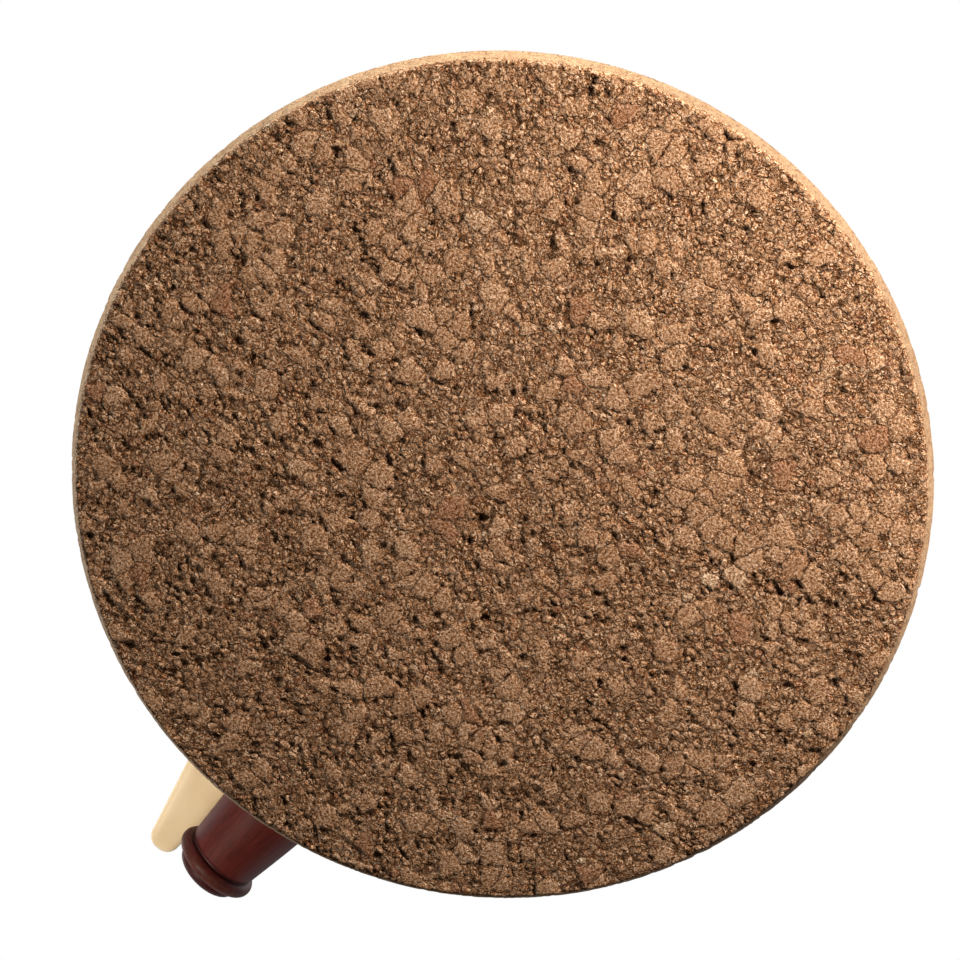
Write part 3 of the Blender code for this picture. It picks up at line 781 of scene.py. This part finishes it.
def make_board():
    """The plywood disc: each ply's edge stands a little in or out of its neighbours."""
    low, high = BOARD_LOW.z, BOARD_HIGH.z
    ply = (high - low) / PLIES
    soft = 0.7 * MM
    profile = [(0.0, low), (BOARD_RADIUS * 0.5, low), (BOARD_RADIUS - soft, low)]
    for number in range(PLIES):
        inset = 0.0 if number % 2 == 0 else PLY_STEP
        bottom, top = low + ply * number, low + ply * (number + 1)
        if number == 0:
            profile += arc_points(BOARD_RADIUS - soft, low + soft, soft, -60, 0, 3)
        else:
            profile.append((BOARD_RADIUS - inset, bottom + GLUE_LINE))
        if number == PLIES - 1:
            profile += arc_points(BOARD_RADIUS - soft, high - soft, soft, 0, 60, 3)
        else:
            profile.append((BOARD_RADIUS - inset, top - GLUE_LINE))
    profile += [(BOARD_RADIUS - soft, high), (BOARD_RADIUS * 0.5, high), (0.0, high)]
    board = turned("plywood_board", profile, 256, plywood_material())
    return place_piece(board, "pad", "plywood", "backing_board")


def arc_points(centre_radius, centre_height, radius, start, end, steps):
    """(radius, height) points along an arc, from one angle to another in degrees."""
    points = []
    for step in range(steps + 1):
        angle = math.radians(start + (end - start) * step / steps)
        points.append((centre_radius + radius * math.cos(angle), centre_height + radius * math.sin(angle)))
    return points


def grip_axis():
    """From the grip's own frame, which runs along its Z axis from the hinge, to the object's frame."""
    return (
        Matrix.Translation((0, GRIP_LINE_Y, HINGE.z))
        @ Matrix.Rotation(GRIP_TOE, 4, "Z")
        @ Matrix.Rotation(math.radians(90), 4, "Y")
    )


def make_grip():
    """The turned grip: tenon, long swell, groove, bead and a short domed butt."""
    profile = [
        (0.0, ROD_END),
        (ROD_RADIUS, ROD_END),
        (ROD_RADIUS, TENON_START),
        (TENON_RADIUS, TENON_START),
        (TENON_RADIUS, SWELL_START),
        (SHOULDER_RADIUS, SWELL_START),
    ]
    swell_low = SWELL_START + SHOULDER
    swell_steps = 60
    for step in range(swell_steps + 1):
        share = step / swell_steps
        fullness = math.sin(math.pi * share**1.25)
        radius = SWELL_LOW_RADIUS + (FERRULE_RADIUS - SWELL_LOW_RADIUS) * (1 - share)
        profile.append((radius + SWELL_RISE * fullness, swell_low + (SWELL_END - swell_low) * share))
    profile += [
        (GROOVE_RADIUS + 0.1 * MM, SWELL_END + SHOULDER),
        (GROOVE_RADIUS, BEAD_AT - 2.6 * MM),
        (GROOVE_RADIUS, BEAD_AT - 2.2 * MM),
    ]
    bead_steps = 18
    for step in range(bead_steps + 1):
        angle = math.pi * (1 - step / bead_steps)
        radius = BEAD_FOOT_RADIUS + (BEAD_RADIUS - BEAD_FOOT_RADIUS) * math.sin(angle)
        profile.append((radius, BEAD_AT + BEAD_HALF * math.cos(angle)))
    dome_start = BEAD_AT + 3.3 * MM
    profile += [(BUTT_RADIUS - 0.1 * MM, BEAD_AT + 2.3 * MM), (BUTT_RADIUS, BEAD_AT + 2.9 * MM)]
    dome_steps = 12
    for step in range(dome_steps):
        angle = math.radians(90 * step / dome_steps)
        height = dome_start + (GRIP_END - dome_start) * math.sin(angle)
        profile.append((BUTT_RADIUS * math.cos(angle), height))
    profile.append((0.0, GRIP_END))
    grip = turned("maroon_grip", profile, 128, lacquer_material(), grip_axis())
    return place_piece(grip, "arm", "maroon_lacquer", "grip")


def lever_section(x):
    """Centre and half sizes of the lever's arm at a distance x from its pin."""
    share = x / LEVER_TIP_X
    y = (LEVER_TIP_Y - LEVER_PIN.y) * (0.35 * share + 0.65 * smooth_step(share * 0.98 + 0.02))
    z = LEVER_RISE * smooth_step((x - 10 * MM) / (34 * MM))
    neck = LEVER_NECK - LEVER_NECK_NARROWS * smooth_step((x - 10 * MM) / (25 * MM))
    paddle = LEVER_PADDLE_WIDENS * smooth_step((x - 35 * MM) / (60 * MM))
    along = max(0.0, (x - LEVER_TAPER_START) / (LEVER_TIP_X - LEVER_TAPER_START))
    half_y = neck + paddle - LEVER_TAPER * along**LEVER_TAPER_POWER
    half_z = LEVER_THICK - LEVER_THINS * smooth_step((x - 8 * MM) / (34 * MM))
    beyond = x - LEVER_TIP_X
    if beyond > 0:
        round_off = math.sqrt(max(0.0, 1 - (beyond / LEVER_TIP_RADIUS) ** 2))
        half_y = LEVER_TIP_RADIUS * round_off
        half_z *= round_off**0.6
    return Vector((x, y, z)), half_y, half_z


def cut_with(obj, cutter, operation):
    """Adds or removes a helper mesh, and then removes the helper."""
    boolean = obj.modifiers.new("shape", "BOOLEAN")
    boolean.operation = operation
    boolean.solver = "EXACT"
    boolean.object = cutter
    apply_modifiers(obj)
    bpy.data.objects.remove(cutter, do_unlink=True)


def box_mesh(name, low, high, mat):
    points = [(x, y, z) for x in (low[0], high[0]) for y in (low[1], high[1]) for z in (low[2], high[2])]
    faces = [(0, 1, 3, 2), (4, 6, 7, 5), (0, 4, 5, 1), (2, 3, 7, 6), (0, 2, 6, 4), (1, 5, 7, 3)]
    return add_mesh(name, points, faces, mat)


def make_lever():
    """The cam lever: two cheeks about the pin, and a long flat arm that rises beside the grip."""
    mat = cream_material()
    start = 3 * MM
    steps = 90
    stations = [start + (LEVER_TIP_X - start) * step / steps for step in range(steps + 1)]
    stations += [LEVER_TIP_X + LEVER_TIP_RADIUS * math.sin(math.radians(a)) for a in range(8, 88, 8)]
    sides = 56
    points, faces = [], []
    for x in stations:
        centre, half_y, half_z = lever_section(x)
        here = min(x, LEVER_TIP_X)
        ahead = lever_section(min(here + 0.5 * MM, LEVER_TIP_X))[0] - lever_section(here - 0.5 * MM)[0]
        up = Vector((-ahead.z, 0, ahead.x)).normalized()
        for side in range(sides):
            angle = math.tau * side / sides
            across, rise = math.cos(angle), math.sin(angle)
            wide = math.copysign(abs(across) ** LEVER_SQUARENESS, across) * half_y
            high = math.copysign(abs(rise) ** LEVER_SQUARENESS, rise) * half_z
            points.append(tuple(centre + Vector((0, wide, 0)) + up * high))
    for ring in range(len(stations) - 1):
        for side in range(sides):
            after = (side + 1) % sides
            a, b = ring * sides, (ring + 1) * sides
            faces.append((a + side, b + side, b + after, a + after))
    faces.append(tuple(range(sides)))
    faces.append(tuple(reversed(range(len(points) - sides, len(points)))))
    lever = add_mesh("cream_cam_lever", points, faces, mat)
    cheek_profile = [
        (0.0, -CAM_HALF_HEIGHT),
        *arc_points(CAM_RADIUS - CHEEK_ROUND, -CAM_HALF_HEIGHT + CHEEK_ROUND, CHEEK_ROUND, -90, 0, 4),
        *arc_points(CAM_RADIUS - CHEEK_ROUND, CAM_HALF_HEIGHT - CHEEK_ROUND, CHEEK_ROUND, 0, 90, 4),
        (0.0, CAM_HALF_HEIGHT),
    ]
    cheeks = turned("cheeks", cheek_profile, 96, mat, Matrix.Translation((0, -CAM_OFFSET, 0)))
    cut_with(lever, cheeks, "UNION")
    far = 20 * MM
    slot = box_mesh("slot", (-far, -far, -SLOT_HALF), (SLOT_WEB, far, SLOT_HALF), mat)
    cut_with(lever, slot, "DIFFERENCE")
    hole_profile = [(0.0, -far), (PIN_HOLE, -far), (PIN_HOLE, far), (0.0, far)]
    cut_with(lever, turned("hole", hole_profile, 48, mat), "DIFFERENCE")
    lever.data.shade_smooth()
    lever.data.set_sharp_from_angle(angle=math.radians(40))
    lever.matrix_world = Matrix.Translation(LEVER_PIN)
    return place_piece(lever, "lever", "cream_plastic", "cam_lever")


def make_bracket():
    """The cast bracket, with the soft edges and fillets that casting leaves."""
    source = frame["nodes"]["hinge_bracket"]
    bracket = bpy.data.objects.new("cast_hinge_bracket", source.data.copy())
    bpy.context.scene.collection.objects.link(bracket)
    remesh = bracket.modifiers.new("cast", "REMESH")
    remesh.mode = "VOXEL"
    remesh.voxel_size = CASTING_VOXEL
    soft = bracket.modifiers.new("soft", "SMOOTH")
    soft.factor = 0.5
    soft.iterations = 5
    apply_modifiers(bracket)
    low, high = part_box("hinge_bracket")
    for vertex in bracket.data.vertices:
        vertex.co = Vector([min(max(vertex.co[axis], low[axis]), high[axis]) for axis in range(3)])
    bracket.data.shade_smooth()
    bracket.data.materials.clear()
    cast = metal_material(
        "sand_cast_aluminium",
        colour=(0.50, 0.51, 0.52),
        worn=(0.78, 0.79, 0.80),
        roughness=0.52,
        grain=0.7,
        depth=0.16 * MM,
    )
    bracket.data.materials.append(cast)
    return place_piece(bracket, "pad", "cast_bracket", "hinge_bracket")


def dress_small_parts():
    """Better finishes and broken edges for the CAD pieces that stay."""
    zinc = metal_material(
        "zinc_plate",
        colour=(0.60, 0.605, 0.59),
        worn=(0.82, 0.82, 0.81),
        roughness=0.34,
        grain=0.5,
        depth=0.02 * MM,
    )
    aluminium = metal_material(
        "lathe_turned_aluminium",
        colour=(0.66, 0.67, 0.68),
        worn=(0.86, 0.87, 0.88),
        roughness=0.34,
        grain=0.6,
        depth=0.03 * MM,
        turned_about="Y",
        anisotropic=0.3,
    )
    brass = metal_material(
        "worn_brass",
        colour=(0.62, 0.42, 0.16),
        worn=(0.86, 0.66, 0.34),
        roughness=0.33,
        grain=0.6,
        depth=0.03 * MM,
    )
    fibre = soft_black_material(
        "pressed_black_fibre",
        colour=(0.018, 0.017, 0.016),
        pale=(0.060, 0.056, 0.052),
        grain=0.5,
        depth=0.06 * MM,
        roughness=0.62,
    )
    rubber = soft_black_material(
        "moulded_black_rubber",
        colour=(0.012, 0.012, 0.012),
        pale=(0.045, 0.043, 0.041),
        grain=0.35,
        depth=0.04 * MM,
        roughness=0.70,
    )
    finishes = {
        "hinge_barrel": (aluminium, 0.35 * MM),
        "hinge_bolt": (zinc, 0.15 * MM),
        "key_pin": (zinc, 0.0),
        "nut_washer": (zinc, 0.0),
        "adjuster_nut": (zinc, 0.18 * MM),
        "jam_nut": (zinc, 0.18 * MM),
        "cam_pin": (zinc, 0.0),
        "tang_rod": (zinc, 0.0),
        "cam_washer": (brass, 0.0),
        "ferrule": (brass, 0.0),
        "rest_bumper": (rubber, 0.0),
        "friction_washer_1": (fibre, 0.0),
        "friction_washer_2": (fibre, 0.0),
    }
    for number in range(1, 5):
        finishes[f"bracket_screw_{number}"] = (zinc, 0.0)
    for node, (mat, width) in finishes.items():
        give_material(node, mat)
        if width:
            soften_edges(node, width)


# --------------------------------------------------------------------------------------------------
# Stage, light and camera
# --------------------------------------------------------------------------------------------------


def make_floor():
    """A pale floor under the cork, seen only from above, so that the face can be looked at from below."""
    mat, graph, shader, place = new_material("pale_floor", specular=0.1)
    cloud = graph.noise(place, 160.0, 3.0, 0.5)
    base = graph.ramp(cloud, (0.3, (0.80, 0.795, 0.785)), (0.7, (0.83, 0.825, 0.815)))
    finish_material(graph, shader, base, 0.8, graph.bump(cloud, 0.05 * MM))
    away = graph.node("ShaderNodeNewGeometry").outputs["Backfacing"]
    clear = graph.node("ShaderNodeBsdfTransparent")
    both = graph.node("ShaderNodeMixShader", {0: away, 1: shader.outputs[0], 2: clear.outputs[0]})
    output = mat.node_tree.nodes["Material Output"]
    graph.feed(output.inputs["Surface"], both.outputs[0])
    points = [(FLOOR_HALF * x, FLOOR_HALF * y, 0) for x, y in ((-1, -1), (1, -1), (1, 1), (-1, 1))]
    mesh = bpy.data.meshes.new("floor")
    mesh.from_pydata(points, [], [(0, 1, 2, 3)])
    mesh.materials.append(mat)
    floor = bpy.data.objects.new("floor", mesh)
    floor.location.z = -FLOOR_DROP
    floor.visible_shadow = False
    floor.visible_diffuse = False
    floor.visible_glossy = False
    bpy.context.scene.collection.objects.link(floor)


def make_world():
    """White to the camera; what lights the object is bright round the horizon, softer above, dim below."""
    world = bpy.data.worlds.new("studio")
    world.use_nodes = True
    bpy.context.scene.world = world
    graph = Graph(world.node_tree)
    nodes = world.node_tree.nodes
    backdrop = nodes["Background"]
    backdrop.inputs["Color"].default_value = (1, 1, 1, 1)
    height = graph.split(graph.node("ShaderNodeTexCoord").outputs["Generated"])[2]
    glow = graph.ramp(
        graph.step(height, -1.0, 1.0),
        (0.44, (0.082, 0.071, 0.056)),
        (0.50, (1.15, 1.22, 1.25)),
        (0.64, (1.05, 1.08, 1.10)),
        (0.80, (0.46, 0.47, 0.48)),
    )
    fill = graph.node("ShaderNodeBackground", {"Color": glow, "Strength": 1.0})
    seen = graph.node("ShaderNodeLightPath").outputs["Is Camera Ray"]
    both = graph.node("ShaderNodeMixShader", {0: seen, 1: fill.outputs[0], 2: backdrop.outputs[0]})
    graph.feed(nodes["World Output"].inputs["Surface"], both.outputs[0])


def aim(obj, place, target):
    direction = Vector(target) - Vector(place)
    obj.matrix_world = Matrix.Translation(place) @ direction.to_track_quat("-Z", "Y").to_matrix().to_4x4()


def soft_light(name, place, target, size, power, colour):
    """A round area light, unseen by the camera itself."""
    data = bpy.data.lights.new(name, "AREA")
    data.shape = "DISK"
    data.size = size
    data.energy = power
    data.color = colour
    light = bpy.data.objects.new(name, data)
    light.visible_camera = False
    bpy.context.scene.collection.objects.link(light)
    aim(light, place, target)
    return light


def around(azimuth, elevation, distance):
    """A point seen from the middle of the face at this azimuth and elevation, in degrees."""
    a, e = math.radians(azimuth), math.radians(elevation)
    return Vector((math.cos(a) * math.cos(e), math.sin(a) * math.cos(e), math.sin(e))) * distance


def reach_only(name, objects, lights):
    """Lets these lights reach these objects and nothing else."""
    reached = bpy.data.collections.new(name)
    for obj in objects:
        reached.objects.link(obj)
    for light in lights:
        light.light_linking.receiver_collection = reached


def light_cork(cork):
    """A raking light under the face, and two weak ones beyond its bevel."""
    middle = (0, 0, 0)
    key = soft_light(
        "raking_key",
        place=around(azimuth=KEY_AZIMUTH, elevation=-20, distance=0.36),
        target=middle,
        size=0.05,
        power=4.45,
        colour=(1.0, 0.915, 0.79),
    )
    fill = soft_light(
        "bevel_fill",
        place=around(azimuth=62, elevation=6, distance=0.7),
        target=middle,
        size=0.5,
        power=6.0,
        colour=(0.84, 0.95, 1.0),
    )
    glow = soft_light(
        "bevel_glow",
        place=around(azimuth=135, elevation=5, distance=0.6),
        target=middle,
        size=0.4,
        power=7.0,
        colour=(1.0, 0.98, 0.86),
    )
    reach_only("lit_cork", [cork], [key, fill, glow])


def light_handle(*pieces):
    """A spot from below for the ends of the grip and the lever, which stand clear of the disc."""
    data = bpy.data.lights.new("handle_spot", "SPOT")
    data.energy = 13.0
    data.color = (1.0, 0.93, 0.84)
    data.shadow_soft_size = 0.07
    data.spot_size = SPOT_VIEW
    data.spot_blend = 0.6
    spot = bpy.data.objects.new("handle_spot", data)
    bpy.context.scene.collection.objects.link(spot)
    aim(spot, SPOT_PLACE, SPOT_TARGET)
    reach_only("lit_handle", pieces, [spot])


def light_above():
    """A broad soft light and a weak one across from it, for the views from above."""
    middle = (0, 0, 0.03)
    soft_light(
        "top_soft", place=(-0.35, -0.55, 0.95), target=middle, size=0.9, power=4.0, colour=(1.0, 0.98, 0.95)
    )
    soft_light(
        "top_rim", place=(0.7, 0.5, 0.6), target=middle, size=0.5, power=1.2, colour=(1.0, 0.95, 0.9)
    )


def make_camera():
    """Looks up at the cork's face from the place that the disc's outline gives."""
    back = Vector((math.cos(CAMERA_AZIMUTH), math.sin(CAMERA_AZIMUTH), 0)) * math.sin(CAMERA_TILT)
    back.z = -math.cos(CAMERA_TILT)
    place = back * CAMERA_DISTANCE
    ahead = (CAMERA_AIM - place).normalized()
    right = ahead.cross(Vector((math.cos(CAMERA_UP), math.sin(CAMERA_UP), 0))).normalized()
    up = right.cross(ahead)
    data = bpy.data.cameras.new("camera")
    data.sensor_width = SENSOR_WIDTH
    data.lens = data.sensor_width / 2 / math.tan(CAMERA_VIEW / 2)
    data.clip_start = 0.01
    camera = bpy.data.objects.new("camera", data)
    bpy.context.scene.collection.objects.link(camera)
    camera.matrix_world = Matrix.Translation(place) @ Matrix((right, up, -ahead)).transposed().to_4x4()
    bpy.context.scene.camera = camera


bpy.context.scene.view_settings.view_transform = "Standard"
make_camera()
make_world()
light_above()
make_floor()
light_cork(make_cork())
light_handle(make_grip(), make_lever())
make_board()
make_bracket()
dress_small_parts()
